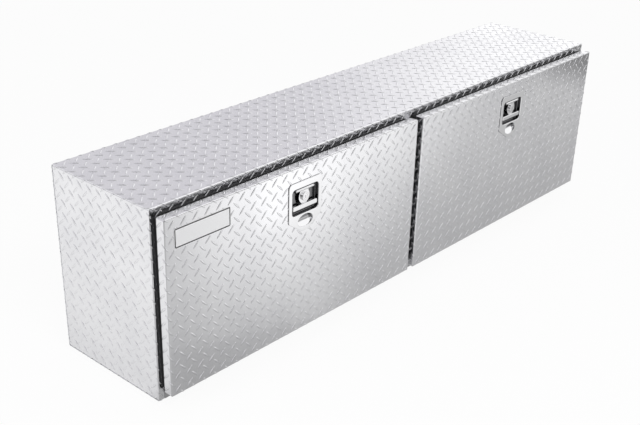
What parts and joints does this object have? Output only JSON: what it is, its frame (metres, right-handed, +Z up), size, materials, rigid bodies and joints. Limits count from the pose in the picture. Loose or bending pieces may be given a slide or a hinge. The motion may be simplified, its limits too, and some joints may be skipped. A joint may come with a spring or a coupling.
{
  "type": "truck tool box",
  "caption": "Long box-shaped truck tool box of folded tread plate with drop-down front doors, slam latches with pull handles, continuous hinges and slotted stays.",
  "frame": {"origin": "centre of the body's flat bottom face", "axes": "+Z up, +X along the box's length to the right as seen from the front, doors face -Y"},
  "size_m": [1.829, 0.3959, 0.502],
  "materials": {
    "tread_plate": "bright raised-lug tread sheet, mill polish",
    "plain_aluminium": "plain mill-finish sheet",
    "seal_rubber": "matt black closed-cell sponge with a smooth skin",
    "hinge_steel": "satin stainless steel",
    "polished_steel": "mirror-polished stainless steel",
    "zinc_steel": "bright zinc-plated steel",
    "rivet_aluminium": "satin aluminium"
  },
  "bodies": {
    "body": {"wrap_shell": "tread_plate", "left_end_panel": "tread_plate", "right_end_panel": "tread_plate", "centre_post": "plain_aluminium", "body_hinge_rivets": "rivet_aluminium", "end_stay_brackets": "zinc_steel", "body_stay_pins": "zinc_steel", "left_door_seal": "seal_rubber", "left_striker": "zinc_steel", "left_hinge_body_leaf": "hinge_steel", "left_hinge_pin": "hinge_steel", "right_door_seal": "seal_rubber", "right_striker": "zinc_steel", "right_hinge_body_leaf": "hinge_steel", "right_hinge_pin": "hinge_steel"},
    "left_door": {"left_hinge_door_leaf": "hinge_steel", "left_door_hinge_rivets": "rivet_aluminium", "left_door_panel": "tread_plate", "left_door_edge": "tread_plate", "left_door_rim": "plain_aluminium", "left_door_stiffeners": "plain_aluminium", "left_latch_gasket": "seal_rubber", "left_latch_dish": "polished_steel", "left_latch_nuts": "zinc_steel", "left_latch_bracket": "zinc_steel", "left_handle_pin": "hinge_steel", "left_bolt_spring": "hinge_steel", "left_door_stay_brackets": "zinc_steel", "left_door_stay_pins": "zinc_steel"},
    "left_handle": {"left_pull_handle": "polished_steel", "left_lock_barrel": "polished_steel"},
    "left_key": {"left_key_plug": "polished_steel", "left_lock_cam": "zinc_steel"},
    "left_bolt": {"left_latch_bolt": "zinc_steel"},
    "left_outer_stay": {"left_outer_stay": "zinc_steel"},
    "left_inner_stay": {"left_inner_stay": "zinc_steel"},
    "right_door": {"right_hinge_door_leaf": "hinge_steel", "right_door_hinge_rivets": "rivet_aluminium", "right_door_panel": "tread_plate", "right_door_edge": "tread_plate", "right_door_rim": "plain_aluminium", "right_door_stiffeners": "plain_aluminium", "right_latch_gasket": "seal_rubber", "right_latch_dish": "polished_steel", "right_latch_nuts": "zinc_steel", "right_latch_bracket": "zinc_steel", "right_handle_pin": "hinge_steel", "right_bolt_spring": "hinge_steel", "right_door_stay_brackets": "zinc_steel", "right_door_stay_pins": "zinc_steel"},
    "right_handle": {"right_pull_handle": "polished_steel", "right_lock_barrel": "polished_steel"},
    "right_key": {"right_key_plug": "polished_steel", "right_lock_cam": "zinc_steel"},
    "right_bolt": {"right_latch_bolt": "zinc_steel"},
    "right_outer_stay": {"right_outer_stay": "zinc_steel"},
    "right_inner_stay": {"right_inner_stay": "zinc_steel"}
  },
  "joints": [
    {"name": "left_door_hinge", "type": "hinge", "parent": "body", "child": "left_door", "pos_m": [-0.4585, -0.1821, 0.0219], "axis": [1, 0, 0], "range_deg": [0, 90]},
    {"name": "left_handle_swing", "type": "hinge", "parent": "left_door", "child": "left_handle", "pos_m": [-0.4585, -0.2114, 0.421], "axis": [-1, 0, 0], "range_deg": [0, 30], "stiffness_Nm_per_rad": 2, "springref_deg": -14.32},
    {"name": "left_key_turn", "type": "hinge", "parent": "left_handle", "child": "left_key", "pos_m": [-0.4585, -0.21265, 0.401], "axis": [0, 1, 0], "range_deg": [0, 90]},
    {"name": "left_bolt_slide", "type": "slide", "parent": "left_door", "child": "left_bolt", "axis": [0, 0, -1], "range_m": [0, 0.016], "deforming": ["left_bolt_spring"]},
    {"name": "left_outer_stay_pivot", "type": "hinge", "parent": "left_door", "child": "left_outer_stay", "pos_m": [-0.866, -0.1941, 0.24358], "axis": [1, 0, 0], "range_deg": [-45, 0]},
    {"name": "left_inner_stay_pivot", "type": "hinge", "parent": "left_door", "child": "left_inner_stay", "pos_m": [-0.0375, -0.1941, 0.24358], "axis": [1, 0, 0], "range_deg": [-45, 0]},
    {"name": "right_door_hinge", "type": "hinge", "parent": "body", "child": "right_door", "pos_m": [0.4585, -0.1821, 0.0219], "axis": [1, 0, 0], "range_deg": [0, 90]},
    {"name": "right_handle_swing", "type": "hinge", "parent": "right_door", "child": "right_handle", "pos_m": [0.4585, -0.2114, 0.421], "axis": [-1, 0, 0], "range_deg": [0, 30], "stiffness_Nm_per_rad": 2, "springref_deg": -14.32},
    {"name": "right_key_turn", "type": "hinge", "parent": "right_handle", "child": "right_key", "pos_m": [0.4585, -0.21265, 0.401], "axis": [0, 1, 0], "range_deg": [0, 90]},
    {"name": "right_bolt_slide", "type": "slide", "parent": "right_door", "child": "right_bolt", "axis": [0, 0, -1], "range_m": [0, 0.016], "deforming": ["right_bolt_spring"]},
    {"name": "right_outer_stay_pivot", "type": "hinge", "parent": "right_door", "child": "right_outer_stay", "pos_m": [0.866, -0.1941, 0.24358], "axis": [1, 0, 0], "range_deg": [-45, 0]},
    {"name": "right_inner_stay_pivot", "type": "hinge", "parent": "right_door", "child": "right_inner_stay", "pos_m": [0.0375, -0.1941, 0.24358], "axis": [1, 0, 0], "range_deg": [-45, 0]}
  ],
  "couplings": [
    {"joint": "left_bolt_slide", "follows": "left_handle_swing", "m_per_rad": 0.03},
    {"joint": "left_outer_stay_pivot", "follows": "left_door_hinge", "ratio": -0.5},
    {"joint": "left_inner_stay_pivot", "follows": "left_door_hinge", "ratio": -0.5},
    {"joint": "right_bolt_slide", "follows": "right_handle_swing", "m_per_rad": 0.03},
    {"joint": "right_outer_stay_pivot", "follows": "right_door_hinge", "ratio": -0.5},
    {"joint": "right_inner_stay_pivot", "follows": "right_door_hinge", "ratio": -0.5}
  ]
}
